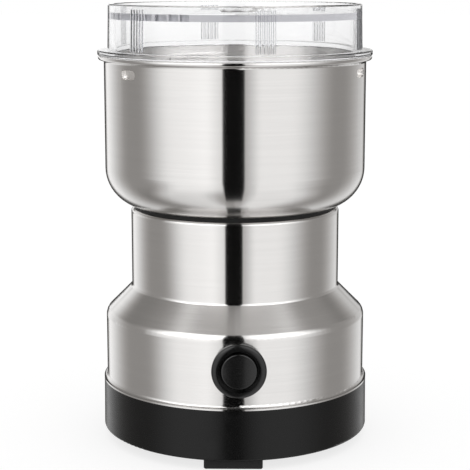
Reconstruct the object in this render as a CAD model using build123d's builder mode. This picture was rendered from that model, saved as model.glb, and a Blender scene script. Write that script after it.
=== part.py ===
"""Electric grain grinder: a clear lid on a steel bowl, over a steel motor housing and a black plastic base.

Lengths are in millimetres and angles in degrees. Z is up, the feet stand on z = 0, the turning axis is Z
and the button faces the front, along negative Y.
"""

import os
from math import asin, atan, cos, degrees, radians, sin, sqrt

from build123d import *

os.makedirs("parts", exist_ok=True)

# Sheet and fits
sheet = 0.6
fit = 0.05
slip = 0.3

# Motor housing, the size that the base, the bowl, the lid and the motor follow
housing_r = 51.05
flange_out = 1.25
flange_r = housing_r + flange_out
root_bend = flange_out - fit
cylinder_height = 27.2
shoulder_bend = 3.8
cone = 10.25
neck_r = housing_r - cone
neck_bend = 1.4
neck_height = 30.75
top_bend = 1.5

# Base
base_out = 1.4
base_r = housing_r + base_out
base_draft = 0.2
base_height = 19.4
base_wall = 2.4
base_floor = 2.6
base_edge = 1.0
spigot_height = 3.0
spigot_wall = 2.0

# Rubber feet
foot_height = 3.7
foot_width = 22.0
foot_depth = 8.0
foot_inset = 6.45
foot_radius = base_r - foot_inset
foot_count = 3
foot_angle = -92.35
foot_edge = 0.8
peg_r = 2.5

# Bowl
bowl_lift = 0.7
bowl_step = 0.37
bowl_r = housing_r - bowl_step
bowl_corner = 15.2
bowl_height = 58.6
bead_r = 0.9
bead_out = 2.22
bead_outer = bowl_r + bead_out
corner_radius = bowl_r - bowl_corner
gasket_step = 0.1
gasket_outer = neck_r - top_bend - gasket_step
gasket_rise = bowl_corner / 10
stud_count = 3
stud_angle = -22.7
stud_width = 9.6
stud_height = 4.0
stud_drop = 5.9
stud_reach = 1.33
stud_draft = 12.0
stud_space = 1.2

# Lid
lid_flange_out = 0.2
lid_flange_r = bead_outer + lid_flange_out
lid_flange = 2.0
lid_step = 1.48
lid_r = bowl_r - lid_step
lid_draft = 0.4
lid_top_r = lid_r - lid_draft
lid_wall = 2.6
lid_bore = lid_r - lid_wall
lid_height = 19.45
lid_plate = 2.5
lid_recess = 3.15
skirt_depth = 11.6
skirt_gap = 0.38
lid_turn = 20.0
rib_groups = 6
rib_count = 5
rib_angle = -18.7
rib_pitch = 1.82
rib_r = 0.85
rib_height = 0.3
rib_foot = 0.5
rib_head = 1.6

# Motor mount
plate_thickness = 4.0
plate_gap = 1.0
ring_step = 0.38
ring_width = 7.6
ring_outer = corner_radius - ring_step
ring_inner = ring_outer - ring_width
hole_step = 0.8
top_hole_r = ring_outer + hole_step
motor_scale = neck_r / 40.8
hub_r = 12.0 * motor_scale
pillar_r = 4.0 * motor_scale
pillar_gap = 0.7
pillar_radius = neck_r - sheet - pillar_r - pillar_gap
base_pillar_r = 4.5 * motor_scale
base_pillar_height = 26.9
thread_r = 1.5
head_r = 3.0
head_height = 2.2
screw_run = 1.0
base_screw_length = 30.0
base_screw_bite = 12.0
bowl_screw_inset = 4.18
bowl_screw_radius = corner_radius - bowl_screw_inset
bowl_screw_length = 5.4
pan_height = 1.6

# Motor, with a cross section that grows and shrinks with the neck
stator_x = 42.0 * motor_scale
stator_y = 54.0 * motor_scale
stator_corner = 8.0 * motor_scale
stator_bore = 14.3 * motor_scale
pole_half = 9.5 * motor_scale
yoke_side = 4.2 * motor_scale
yoke_end = 7.5 * motor_scale
window_edge = 1.0
motor_screw_y = 23.5 * motor_scale
coil_depth = 5.0 * motor_scale
coil_overhang = 5.5
coil_edge = 4.5
coil_gap = 0.3
bracket_plate = 2.5
lower_leg = 23.5
upper_leg = 8.0
upper_gap = 6.7
bracket_half = 28.0 * motor_scale
bracket_width = 14.0 * motor_scale
arm_half = 27.0 * motor_scale
arm_width = 12.0 * motor_scale
cup_r = 8.2
cup_lip = 1.0
cup_hole = 4.2
bush_r = 6.0
bush_length = 6.6
clip_r = 7.8
clip_thickness = 0.6

# Rotor
shaft_r = 3.0
shaft_end_r = 2.5
shaft_thread = 8.5
air_gap = 0.5
slot_count = 12
slot_radius = 10.0 * motor_scale
slot_r = 1.7 * motor_scale
slot_mouth = 1.0
winding_outer = 12.6 * motor_scale
winding_inner = 5.5 * motor_scale
winding_height = 5.2
winding_gap = 2.5
commutator_r = 9.0 * motor_scale
commutator_lift = 6.0
segment_count = 24
segment_depth = 1.0
segment_cut = 0.5
fan_r = 28.0 * motor_scale
fan_lift = 4.2
fan_height = 8.0
fan_plate = 1.5
fan_hub_r = 6.0
fan_rim = 1.0
fan_blades = 9
fan_blade = 1.4
fan_gap = 7.0
shaft_foot_drop = 1.0

# Floor vents under the fan
vent_count = 16
vent_width = 2.2
vent_inner = 12.0 * motor_scale
vent_outer = fan_r - 2 * fan_rim

# Brushes
brush_y = 4.6
brush_z = 6.6
brush_length = 9.0 * motor_scale
holder_start = 10.6 * motor_scale
holder_end = 26.0 * motor_scale
holder_wall = 0.7
holder_seat = 10.0 * motor_scale
holder_tip = 1.0 * motor_scale
brush_wire = 0.25
brush_turns = 5

# Blade
spacer_r = 5.0
blade_lift = 6.4
blade_r = bowl_screw_radius
blade_thickness = 1.5
blade_hub_r = 9.0
blade_root = 12.0
blade_tip = 7.0
blade_taper = 1.0
blade_rise = 10.0
washer_r = 6.0
washer_thickness = 0.8
nut_flats = 8.0
nut_height = 4.0
nut_dome = 3.4

# Shaft seal
seal_r = 6.4
seal_neck_r = 4.55
seal_flange_r = 6.0
seal_flange = 1.0
seal_gap = 0.4

# Button and switch
button_lift = 1.6
button_r = 6.7
button_proud = 0.35
button_dome = 0.5
button_edge = 0.6
button_skin = 1.6
button_skirt = 6.0
button_travel = 2.5
bezel_r = 10.0
bezel_out = 2.7
bezel_front = housing_r + bezel_out
bezel_land = 8.0
bezel_groove = 0.8
bezel_web = 0.5
bezel_recess = bezel_out - bezel_web
bezel_bore = 6.9
barrel_r = 8.2
barrel_hole_r = 8.4
barrel_reach = 8.55
barrel_back = housing_r - barrel_reach
barrel_web = 2.0
stem_r = 2.2
spring_r = 4.2
spring_wire = 0.35
spring_turns = 5
ring_nut_gap = 0.2
ring_nut_length = 3.0
switch_width = 18.0
switch_height = 16.0
switch_depth = 11.5
switch_wall = 1.8
switch_edge = 1.0
contact_width = 12.0
contact_height = 4.0
contact_thickness = 0.8
terminal_x = 4.5
terminal_width = 4.0
terminal_thickness = 0.8
terminal_gap = 0.3

# Cord inlet, in the plain height of the base wall
inlet_height = base_height - base_floor - 1.5 * spigot_height
inlet_z = foot_height + base_floor + inlet_height / 2
inlet_flange_r = inlet_height / 2 - slip
inlet_step = 1.0
inlet_r = inlet_flange_r - inlet_step
inlet_wall = 1.65
inlet_bore = inlet_r - inlet_wall
inlet_flange = 1.6

# Heights that follow from the sizes
base_top = foot_height + base_height
floor_top = foot_height + base_floor
shoulder_z = base_top + cylinder_height
button_z = base_top + cylinder_height / 2 + button_lift
split_z = base_top + base_pillar_height
neck_z = shoulder_z + cone
housing_top = neck_z + neck_height
bowl_z = housing_top + bowl_lift
bowl_floor = bowl_z + sheet
blade_z = bowl_floor + blade_lift
rim_z = bowl_z + bowl_height
lid_top = rim_z + lid_height
plate_top = housing_top - sheet
plate_z = plate_top - plate_thickness
stud_z = rim_z - stud_drop
base_top_r = base_r - base_draft
housing_bore = housing_r - sheet
neck_bore = neck_r - sheet
bowl_bore = bowl_r - sheet
skirt_r = bowl_bore - skirt_gap
fan_z = floor_top + fan_lift
shaft_foot = fan_z - shaft_foot_drop
lower_plate_z = fan_z + fan_height + fan_gap
lower_plate_top = lower_plate_z + bracket_plate
stator_z = lower_plate_top + lower_leg
upper_plate_z = plate_z - upper_gap
upper_plate_top = upper_plate_z + bracket_plate
stack_top = upper_plate_z - upper_leg
stack_height = stack_top - stator_z
commutator_z = lower_plate_z + commutator_lift
commutator_height = stator_z - coil_gap - winding_height - winding_gap - commutator_z
brush_mid_z = commutator_z + commutator_height / 2
boss_drop = plate_z - upper_plate_top
ring_nut_r = button_z - base_top - spigot_height - ring_nut_gap
ring_nut_y = sqrt(housing_bore**2 - (ring_nut_r / cos(radians(30))) ** 2) - fit
coil_back = stator_y / 2 - yoke_end - coil_gap
bracket_leg_r = motor_screw_y - coil_back - coil_gap


def radial(angle, radius, height):
    """Plane that faces outwards at an angle round the axis, with its x along the ring and its y up."""
    a = radians(angle)
    return Plane(
        origin=(radius * cos(a), radius * sin(a), height),
        x_dir=(-sin(a), cos(a), 0),
        z_dir=(cos(a), sin(a), 0),
    )


def meridian(angle):
    """Upright plane through the turning axis at an angle round it, with its x outwards and its y up."""
    a = radians(angle)
    return Plane(origin=(0, 0, 0), x_dir=(cos(a), sin(a), 0), z_dir=(sin(a), -cos(a), 0))


def save(builder, name):
    """Label a finished piece and write it."""
    builder.part.label = name
    export_step(builder.part, f"parts/{name}.step")


# Rubber feet, each a block with a peg that plugs into the base floor
foot_angles = [foot_angle + 360 / foot_count * i for i in range(foot_count)]
for number, angle in enumerate(foot_angles, 1):
    with BuildPart() as rubber_foot:
        with BuildSketch(Plane.XY.rotated((0, 0, angle))):
            with Locations((foot_radius, 0)):
                RectangleRounded(foot_depth, foot_width, foot_edge)
        extrude(amount=foot_height)
        chamfer(rubber_foot.faces().sort_by(Axis.Z)[0].edges(), foot_edge / 2)
        with BuildSketch(Plane.XY.offset(foot_height).rotated((0, 0, angle))):
            with Locations((foot_radius, 0)):
                Circle(peg_r)
        extrude(amount=base_floor - fit)
    save(rubber_foot, f"rubber_foot_{number}")

# Base tub with a spigot for the housing, four screw pillars, floor vents and the cord hole
with BuildPart() as base:
    with BuildSketch(Plane.XZ):
        with BuildLine():
            Polyline(
                (0, foot_height),
                (base_r, foot_height),
                (base_top_r, base_top),
                (housing_bore - slip, base_top),
                (housing_bore - slip, base_top + spigot_height),
                (housing_bore - slip - spigot_wall, base_top + spigot_height),
                (housing_bore - slip - spigot_wall, base_top - spigot_height / 2),
                (base_r - base_wall, base_top - 1.5 * spigot_height),
                (base_r - base_wall, floor_top),
                (0, floor_top),
                close=True,
            )
        make_face()
    revolve(axis=Axis.Z)
    fillet(base.faces().sort_by(Axis.Z)[0].edges(), base_edge)
    with BuildSketch(Plane.XY.offset(foot_height + base_floor / 2)):
        with PolarLocations(pillar_radius, 4, 45):
            Circle(base_pillar_r)
    extrude(amount=split_z - foot_height - base_floor / 2)
    with BuildSketch(Plane.XY.offset(foot_height)):
        with PolarLocations((vent_inner + vent_outer) / 2, vent_count):
            SlotOverall(vent_outer - vent_inner, vent_width)
    extrude(amount=base_floor, mode=Mode.SUBTRACT)
    with BuildSketch(Plane.XY.offset(foot_height)):
        with PolarLocations(pillar_radius, 4, 45):
            Circle(head_r + slip)
    extrude(amount=split_z - foot_height - (base_screw_length - base_screw_bite), mode=Mode.SUBTRACT)
    with BuildSketch(Plane.XY.offset(foot_height)):
        with PolarLocations(pillar_radius, 4, 45):
            Circle(thread_r + slip / 2)
    extrude(amount=split_z, mode=Mode.SUBTRACT)
    with BuildSketch(Plane.XY.offset(foot_height)):
        with PolarLocations(foot_radius, foot_count, foot_angle):
            Circle(peg_r + fit)
    extrude(amount=base_floor, mode=Mode.SUBTRACT)
    with BuildSketch(Plane.XZ.offset(-base_r - base_wall)):
        with Locations((0, inlet_z)):
            Circle(inlet_r + fit)
    extrude(amount=base_r / 4, mode=Mode.SUBTRACT)
save(base, "base")

# Long screws from under the base into the pillars of the motor mount
screw_seat = split_z - (base_screw_length - base_screw_bite)
pillars = PolarLocations(pillar_radius, 4, 45).locations
for number, spot in enumerate(pillars, 1):
    with BuildPart() as base_screw:
        with BuildSketch(Plane(spot).offset(screw_seat)):
            Circle(thread_r)
        extrude(amount=base_screw_length)
        with BuildSketch(Plane(spot).offset(screw_seat - head_height)):
            Circle(head_r)
        extrude(amount=head_height)
        fillet(base_screw.faces().sort_by(Axis.Z)[0].edges(), head_height / 4)
        with BuildSketch(Plane(spot).offset(screw_seat - head_height)):
            Rectangle(head_r * 1.2, head_r / 4)
            Rectangle(head_r / 4, head_r * 1.2)
        extrude(amount=head_height / 2, mode=Mode.SUBTRACT)
    save(base_screw, f"base_screw_{number}")

# Cord grommet in the back wall of the base, with a bore for the cord
with BuildPart() as cord_grommet:
    with BuildSketch(Plane.XZ.offset(-base_r + base_wall + inlet_flange)):
        with Locations((0, inlet_z)):
            Circle(inlet_flange_r)
    extrude(amount=-base_wall - 2 * inlet_flange)
    with BuildSketch(Plane.XY.offset(foot_height)):
        Circle(base_r + fit)
        Circle(base_r - base_wall - slip, mode=Mode.SUBTRACT)
    extrude(amount=base_height, mode=Mode.SUBTRACT)
    with BuildSketch(Plane.XZ.offset(-base_r + base_wall + inlet_flange)):
        with Locations((0, inlet_z)):
            Circle(inlet_r)
    extrude(amount=-base_wall - 2 * inlet_flange)
    with BuildSketch(Plane.XZ.offset(-base_r + base_wall + inlet_flange)):
        with Locations((0, inlet_z)):
            Circle(inlet_bore)
    extrude(amount=-base_wall - 2 * inlet_flange, mode=Mode.SUBTRACT)
save(cord_grommet, "cord_grommet")

# Motor housing, pressed from sheet: flange, cylinder, cone, neck and a turned in top
with BuildPart() as motor_housing:
    with BuildSketch(Plane.XZ):
        with BuildLine():
            FilletPolyline(
                (flange_r, base_top + sheet),
                (housing_r, base_top + sheet),
                (housing_r, shoulder_z),
                (neck_r, neck_z),
                (neck_r, housing_top),
                (top_hole_r, housing_top),
                radius=(root_bend, shoulder_bend, neck_bend, top_bend),
            )
            offset(amount=sheet, side=Side.LEFT)
        make_face()
    revolve(axis=Axis.Z)
    with BuildSketch(Plane.XZ.offset(housing_r / 2)):
        with Locations((0, button_z)):
            Circle(barrel_hole_r)
    extrude(amount=housing_r, mode=Mode.SUBTRACT)
save(motor_housing, "motor_housing")

# Gasket between the housing neck and the bowl, hollowed to the bowl's corner
with BuildPart() as bowl_gasket:
    with BuildSketch(Plane.XZ):
        with Locations(((top_hole_r + gasket_outer) / 2, housing_top + gasket_rise)):
            Rectangle(gasket_outer - top_hole_r, 2 * gasket_rise)
        with Locations((corner_radius, bowl_z + bowl_corner)):
            Circle(bowl_corner + fit, mode=Mode.SUBTRACT)
    revolve(axis=Axis.Z)
save(bowl_gasket, "bowl_gasket")

# Mount plate under the housing top, with the ring and hub that carry the bowl
with BuildPart() as mount_plate:
    with BuildSketch(Plane.XY.offset(plate_z)):
        Circle(neck_bore - slip)
    extrude(amount=plate_thickness)
    chamfer(mount_plate.faces().sort_by(Axis.Z)[-1].edges(), top_bend - sheet)
    with BuildSketch(Plane.XY.offset(plate_top)):
        Circle(ring_outer)
        Circle(ring_inner, mode=Mode.SUBTRACT)
        Circle(hub_r)
    extrude(amount=bowl_z - plate_top)
    with BuildSketch(Plane.XY.offset(plate_z)):
        with PolarLocations(pillar_radius, 4, 45):
            Circle(pillar_r)
    extrude(amount=split_z - plate_z)
    with BuildSketch(Plane.XY.offset(plate_z)):
        with Locations((0, motor_screw_y), (0, -motor_screw_y)):
            Circle(base_pillar_r)
    extrude(amount=-boss_drop)
    with BuildSketch(Plane.XY.offset(split_z)):
        with PolarLocations(pillar_radius, 4, 45):
            Circle(thread_r + fit)
    extrude(amount=base_screw_bite + screw_run, mode=Mode.SUBTRACT)
    with BuildSketch(Plane.XY.offset(upper_plate_top)):
        with Locations((0, motor_screw_y), (0, -motor_screw_y)):
            Circle(thread_r + slip / 2)
    extrude(amount=bowl_z - upper_plate_top, mode=Mode.SUBTRACT)
    with BuildSketch(Plane.XY.offset(plate_top - head_height - slip)):
        with Locations((0, motor_screw_y), (0, -motor_screw_y)):
            Circle(head_r + slip)
    extrude(amount=bowl_z - plate_top + head_height + slip, mode=Mode.SUBTRACT)
    with BuildSketch(Plane.XY.offset(plate_z)):
        Circle(cup_r + slip)
    extrude(amount=plate_thickness - plate_gap + slip, mode=Mode.SUBTRACT)
    with BuildSketch(Plane.XY.offset(plate_z)):
        Circle(seal_r + fit)
    extrude(amount=bowl_z - plate_z, mode=Mode.SUBTRACT)
    with BuildSketch(Plane.XY.offset(bowl_z)):
        with PolarLocations(bowl_screw_radius, 3, 30):
            Circle(thread_r + fit)
    extrude(amount=-bowl_screw_length, mode=Mode.SUBTRACT)
save(mount_plate, "mount_plate")

# Grinding bowl, drawn from sheet, with a rolled rim and three studs punched inwards for the lid
bead_radius = bead_outer - bead_r
with BuildPart() as grinding_bowl:
    with BuildSketch(Plane.XZ):
        with BuildLine():
            FilletPolyline(
                (seal_neck_r + fit, bowl_z),
                (bowl_r, bowl_z),
                (bowl_r, rim_z),
                radius=bowl_corner,
            )
            offset(amount=sheet, side=Side.LEFT)
        make_face()
        with BuildLine():
            bead_low = (bead_radius, rim_z - 2 * bead_r)
            under = Line((bowl_r - sheet / 2, rim_z - 2 * bead_r), bead_low)
            bead = ThreePointArc(bead_low, (bead_outer, rim_z - bead_r), (bead_radius, rim_z))
            Polyline(bead @ 1, (bowl_r - sheet / 2, rim_z), under @ 0)
        make_face()
    revolve(axis=Axis.Z)
    under_rim = grinding_bowl.edges().filter_by(GeomType.CIRCLE)
    under_rim = under_rim.filter_by(lambda e: abs(e.radius - bowl_r) < fit)
    fillet(under_rim.sort_by(lambda e: abs(e.center().Z - rim_z + 2 * bead_r))[0], bead_r)
    for index in range(stud_count):
        angle = stud_angle + 360 / stud_count * index
        with BuildSketch(radial(angle, bowl_bore - stud_reach, stud_z)):
            SlotOverall(stud_width, stud_height)
        extrude(amount=stud_reach + sheet / 2)
        with BuildSketch(radial(angle, bowl_r - stud_reach, stud_z)):
            SlotOverall(stud_width - 2 * sheet, stud_height - 2 * sheet)
        extrude(amount=2 * stud_reach, taper=-stud_draft, mode=Mode.SUBTRACT)
    with BuildSketch(Plane.XY.offset(bowl_z)):
        with PolarLocations(bowl_screw_radius, 3, 30):
            Circle(thread_r + slip / 2)
    extrude(amount=sheet, mode=Mode.SUBTRACT)
save(grinding_bowl, "grinding_bowl")

# Pan head screws that hold the bowl on the mount plate
for number, spot in enumerate(PolarLocations(bowl_screw_radius, 3, 30).locations, 1):
    with BuildPart() as bowl_screw:
        with BuildSketch(Plane(spot).offset(bowl_floor)):
            Circle(head_r - fit)
        extrude(amount=pan_height)
        fillet(bowl_screw.faces().sort_by(Axis.Z)[-1].edges(), pan_height / 2)
        with BuildSketch(Plane(spot).offset(bowl_floor)):
            Circle(thread_r)
        extrude(amount=-bowl_screw_length)
        with BuildSketch(Plane(spot).offset(bowl_floor + pan_height)):
            Rectangle(head_r, head_r / 5)
            Rectangle(head_r / 5, head_r)
        extrude(amount=-pan_height / 2, mode=Mode.SUBTRACT)
    save(bowl_screw, f"bowl_screw_{number}")

# Shaft seal: a rubber grommet in the mount plate hub, through the bowl floor
with BuildPart() as shaft_seal:
    with BuildSketch(Plane.XZ):
        with BuildLine():
            Polyline(
                (shaft_r + fit, bowl_z - plate_gap - sheet - seal_gap),
                (seal_r, bowl_z - plate_gap - sheet - seal_gap),
                (seal_r, bowl_z),
                (seal_neck_r, bowl_z),
                (seal_neck_r, bowl_floor),
                (seal_flange_r, bowl_floor),
                (seal_neck_r, bowl_floor + seal_flange),
                (shaft_r + fit, bowl_floor + seal_flange),
                close=True,
            )
        make_face()
    revolve(axis=Axis.Z)
save(shaft_seal, "shaft_seal")

# Clear lid: stepped wall, recessed top plate, flange, skirt with bayonet slots and six groups of grip ribs
lid_lean = degrees(atan((lid_r - lid_top_r) / (lid_height - lid_flange)))
stud_half = degrees(asin((stud_width / 2 + stud_space) / bowl_bore))
rib_start = rim_z + lid_flange + rib_foot
rib_length = lid_top - rib_head - rib_start
with BuildPart() as lid:
    with BuildSketch(Plane.XZ):
        with BuildLine():
            Polyline(
                (lid_bore, rim_z - skirt_depth),
                (skirt_r, rim_z - skirt_depth),
                (skirt_r, rim_z),
                (lid_flange_r, rim_z),
                (lid_flange_r, rim_z + lid_flange),
                (lid_r, rim_z + lid_flange),
                (lid_top_r, lid_top),
                (lid_bore, lid_top),
                (lid_bore, lid_top - lid_recess),
                (0, lid_top - lid_recess),
                (0, lid_top - lid_recess - lid_plate),
                (lid_bore, lid_top - lid_recess - lid_plate),
                close=True,
            )
        make_face()
    revolve(axis=Axis.Z)
    lid_edges = lid.edges().filter_by(GeomType.CIRCLE)
    fillet(lid_edges.filter_by(lambda e: abs(e.radius - lid_flange_r) < fit), lid_flange / 4)
    fillet(lid_edges.group_by(lambda e: round(e.center().Z, 3))[-1], lid_plate / 4)
    fillet(lid_edges.group_by(lambda e: round(e.center().Z, 3))[0], lid_plate / 5)
    for index in range(stud_count):
        angle = stud_angle + 360 / stud_count * index - stud_half
        with BuildSketch(meridian(angle)):
            with Locations((bowl_bore - stud_reach - skirt_gap, rim_z - skirt_depth - lid_flange)):
                Rectangle(
                    2 * stud_reach,
                    skirt_depth + lid_flange - stud_drop + stud_height / 2 + slip,
                    align=(Align.MIN, Align.MIN),
                )
        revolve(axis=Axis.Z, revolution_arc=2 * stud_half, mode=Mode.SUBTRACT)
        with BuildSketch(meridian(angle)):
            with Locations((bowl_bore - stud_reach - skirt_gap, stud_z)):
                Rectangle(2 * stud_reach, stud_height + 2 * slip, align=(Align.MIN, Align.CENTER))
        revolve(axis=Axis.Z, revolution_arc=2 * stud_half + lid_turn, mode=Mode.SUBTRACT)
    for group in range(rib_groups):
        for index in range(rib_count):
            angle = rib_angle + 360 / rib_groups * group + rib_pitch * (index - (rib_count - 1) / 2)
            foot = Plane(
                origin=((lid_r + rib_height - rib_r) * cos(radians(angle)),
                        (lid_r + rib_height - rib_r) * sin(radians(angle)), rib_start),
                z_dir=(-sin(radians(lid_lean)) * cos(radians(angle)),
                       -sin(radians(lid_lean)) * sin(radians(angle)), cos(radians(lid_lean))),
            )
            with BuildSketch(foot):
                Circle(rib_r)
            extrude(amount=rib_length)
save(lid, "lid")

# Stator: laminated core with two poles, one field coil round each pole
window = stator_x / 2 - yoke_side
with BuildPart() as stator_core:
    with BuildSketch(Plane.XY.offset(stator_z)):
        RectangleRounded(stator_x, stator_y, stator_corner)
        Circle(stator_bore, mode=Mode.SUBTRACT)
        with Locations(((pole_half + window) / 2, 0), (-(pole_half + window) / 2, 0)):
            RectangleRounded(window - pole_half, stator_y - 2 * yoke_end, window_edge, mode=Mode.SUBTRACT)
        with Locations((0, motor_screw_y), (0, -motor_screw_y)):
            Circle(thread_r + slip / 2, mode=Mode.SUBTRACT)
    extrude(amount=stack_height)
save(stator_core, "stator_core")

for name, side in (("field_coil_front", 1), ("field_coil_back", -1)):
    with BuildPart() as field_coil:
        with BuildSketch(Plane.XZ.offset(side * (coil_back - coil_depth))):
            with Locations((0, stator_z + stack_height / 2)):
                RectangleRounded(
                    2 * (window - coil_gap), stack_height + 2 * coil_overhang, coil_edge
                )
                RectangleRounded(
                    2 * (pole_half + coil_gap),
                    stack_height + 2 * coil_gap,
                    coil_gap,
                    mode=Mode.SUBTRACT,
                )
        extrude(amount=side * coil_depth)
    save(field_coil, name)

# Lower bracket: bearing cup, legs to the stator and arms that carry the brush holders
bush_z = lower_plate_top - bush_length / 2 - clip_thickness
holder_y = brush_y + 2 * (fit + holder_wall)
holder_z = brush_z + 2 * (fit + holder_wall)
holder_floor = brush_mid_z - holder_z / 2
seat_x = holder_end - holder_tip - holder_seat / 2
cup_end = bush_z - bush_length / 2 - fit
with BuildPart() as lower_bracket:
    with BuildSketch(Plane.XY.offset(lower_plate_z)):
        SlotOverall(2 * arm_half, arm_width)
        SlotOverall(2 * bracket_half, bracket_width, rotation=90)
        Circle(hub_r)
    extrude(amount=bracket_plate)
    with BuildSketch(Plane.XY.offset(lower_plate_top)):
        with Locations((0, motor_screw_y), (0, -motor_screw_y)):
            Circle(bracket_leg_r)
    extrude(amount=lower_leg)
    with BuildSketch(Plane.XY.offset(lower_plate_top)):
        with Locations((seat_x, 0), (-seat_x, 0)):
            Rectangle(holder_seat, holder_y)
    extrude(amount=holder_floor - lower_plate_top)
    with BuildSketch(Plane.XY.offset(lower_plate_top)):
        Circle(cup_r)
    extrude(amount=cup_end - cup_lip - lower_plate_top)
    with BuildSketch(Plane.XY.offset(cup_end)):
        Circle(bush_r + fit)
    extrude(amount=lower_plate_top - cup_end, mode=Mode.SUBTRACT)
    with BuildSketch(Plane.XY.offset(cup_end - cup_lip)):
        Circle(cup_hole)
    extrude(amount=cup_lip, mode=Mode.SUBTRACT)
    with BuildSketch(Plane.XY.offset(lower_plate_z)):
        with Locations((0, motor_screw_y), (0, -motor_screw_y)):
            Circle(thread_r + slip / 2)
    extrude(amount=bracket_plate + lower_leg, mode=Mode.SUBTRACT)
save(lower_bracket, "lower_bracket")

# Upper bracket: bar with a bearing cup that centres in the mount plate
upper_cup_top = plate_z + plate_thickness - plate_gap
upper_bush_z = upper_cup_top - cup_lip - fit - bush_length / 2
with BuildPart() as upper_bracket:
    with BuildSketch(Plane.XY.offset(upper_plate_z)):
        SlotOverall(2 * bracket_half, bracket_width, rotation=90)
        Circle(hub_r)
    extrude(amount=bracket_plate)
    with BuildSketch(Plane.XY.offset(upper_plate_z)):
        with Locations((0, motor_screw_y), (0, -motor_screw_y)):
            Circle(bracket_leg_r)
    extrude(amount=-upper_leg)
    with BuildSketch(Plane.XY.offset(upper_plate_z)):
        Circle(cup_r)
    extrude(amount=upper_cup_top - upper_plate_z)
    with BuildSketch(Plane.XY.offset(upper_plate_z)):
        Circle(bush_r + fit)
    extrude(amount=upper_cup_top - cup_lip - upper_plate_z, mode=Mode.SUBTRACT)
    with BuildSketch(Plane.XY.offset(upper_plate_z)):
        Circle(cup_hole)
    extrude(amount=upper_cup_top - upper_plate_z, mode=Mode.SUBTRACT)
    with BuildSketch(Plane.XY.offset(stack_top)):
        with Locations((0, motor_screw_y), (0, -motor_screw_y)):
            Circle(thread_r + slip / 2)
    extrude(amount=bracket_plate + upper_leg, mode=Mode.SUBTRACT)
save(upper_bracket, "upper_bracket")

# Self aligning bushes and the clips that hold them in their cups
for name, height in (("lower_bearing", bush_z), ("upper_bearing", upper_bush_z)):
    half = bush_length / 2
    end_r = sqrt(bush_r**2 - half**2)
    with BuildPart() as bearing:
        with BuildSketch(Plane.XZ):
            with BuildLine():
                Line((shaft_r + fit, height - half), (end_r, height - half))
                ThreePointArc((end_r, height - half), (bush_r, height), (end_r, height + half))
                Polyline(
                    (end_r, height + half), (shaft_r + fit, height + half), (shaft_r + fit, height - half)
                )
            make_face()
        revolve(axis=Axis.Z)
    save(bearing, name)

upper_clip_z = upper_plate_z - clip_thickness
for name, height in (("lower_bearing_clip", lower_plate_top), ("upper_bearing_clip", upper_clip_z)):
    with BuildPart() as bearing_clip:
        with BuildSketch(Plane.XY.offset(height)):
            Circle(clip_r)
            Circle(cup_hole, mode=Mode.SUBTRACT)
        extrude(amount=clip_thickness)
    save(bearing_clip, name)

# Motor screws from the mount plate down through the stator, with their nuts
screw_top = plate_top - head_height - slip
nut_z = lower_plate_z - head_height
for name, spot in (("front", -motor_screw_y), ("back", motor_screw_y)):
    with BuildPart() as motor_screw:
        with BuildSketch(Plane.XY.offset(screw_top)):
            with Locations((0, spot)):
                Circle(head_r)
        extrude(amount=head_height)
        with BuildSketch(Plane.XY.offset(nut_z - screw_run)):
            with Locations((0, spot)):
                Circle(thread_r)
        extrude(amount=screw_top - nut_z + screw_run)
    save(motor_screw, f"motor_screw_{name}")
    with BuildPart() as motor_nut:
        with BuildSketch(Plane.XY.offset(nut_z)):
            with Locations((0, spot)):
                RegularPolygon(head_r, 6)
                Circle(thread_r + fit, mode=Mode.SUBTRACT)
        extrude(amount=head_height)
    save(motor_nut, f"motor_nut_{name}")

# Brush gear on both sides: a brass holder, a carbon brush and the spring behind it
brush_start = commutator_r + fit
brush_end = brush_start + brush_length
cap_x = holder_end - holder_wall
for name, side in (("right", 1), ("left", -1)):
    with BuildPart() as brush_holder:
        with BuildSketch(Plane.YZ.offset(side * holder_start)):
            with Locations((0, brush_mid_z)):
                Rectangle(holder_y, holder_z)
                Rectangle(brush_y + 2 * fit, brush_z + 2 * fit, mode=Mode.SUBTRACT)
        extrude(amount=side * (cap_x - holder_start))
        with BuildSketch(Plane.YZ.offset(side * cap_x)):
            with Locations((0, brush_mid_z)):
                Rectangle(holder_y, holder_z)
        extrude(amount=side * holder_wall)
    save(brush_holder, f"brush_holder_{name}")
    with BuildPart() as carbon_brush:
        with BuildSketch(Plane.YZ.offset(side * (commutator_r - segment_depth))):
            with Locations((0, brush_mid_z)):
                Rectangle(brush_y, brush_z)
        extrude(amount=side * (brush_end - commutator_r + segment_depth))
        with BuildSketch(Plane.XY.offset(commutator_z)):
            Circle(brush_start)
        extrude(amount=commutator_height, mode=Mode.SUBTRACT)
    save(carbon_brush, f"carbon_brush_{name}")
    spring_length = cap_x - brush_end - 2 * (brush_wire + fit)
    spring_start = side * (brush_end + brush_wire + fit)
    with BuildPart() as brush_spring:
        with BuildLine():
            coil = Helix(
                spring_length / brush_turns,
                spring_length,
                brush_y / 2 - 2 * brush_wire,
                center=(spring_start, 0, brush_mid_z),
                direction=(side, 0, 0),
            )
        with BuildSketch(Plane(origin=coil @ 0, z_dir=coil % 0)):
            Circle(brush_wire)
        sweep()
    save(brush_spring, f"brush_spring_{name}")

# Rotor: shaft, laminated armature, windings, commutator and cooling fan
blade_top = blade_z + blade_thickness + washer_thickness
with BuildPart() as motor_shaft:
    with BuildSketch(Plane.XY.offset(shaft_foot)):
        Circle(shaft_r)
    extrude(amount=blade_z - shaft_foot)
    with BuildSketch(Plane.XY.offset(blade_z)):
        Circle(shaft_end_r)
    extrude(amount=shaft_thread)
    chamfer(motor_shaft.faces().sort_by(Axis.Z)[-1].edges(), shaft_end_r / 6)
    chamfer(motor_shaft.faces().sort_by(Axis.Z)[0].edges(), shaft_end_r / 6)
save(motor_shaft, "motor_shaft")

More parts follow.
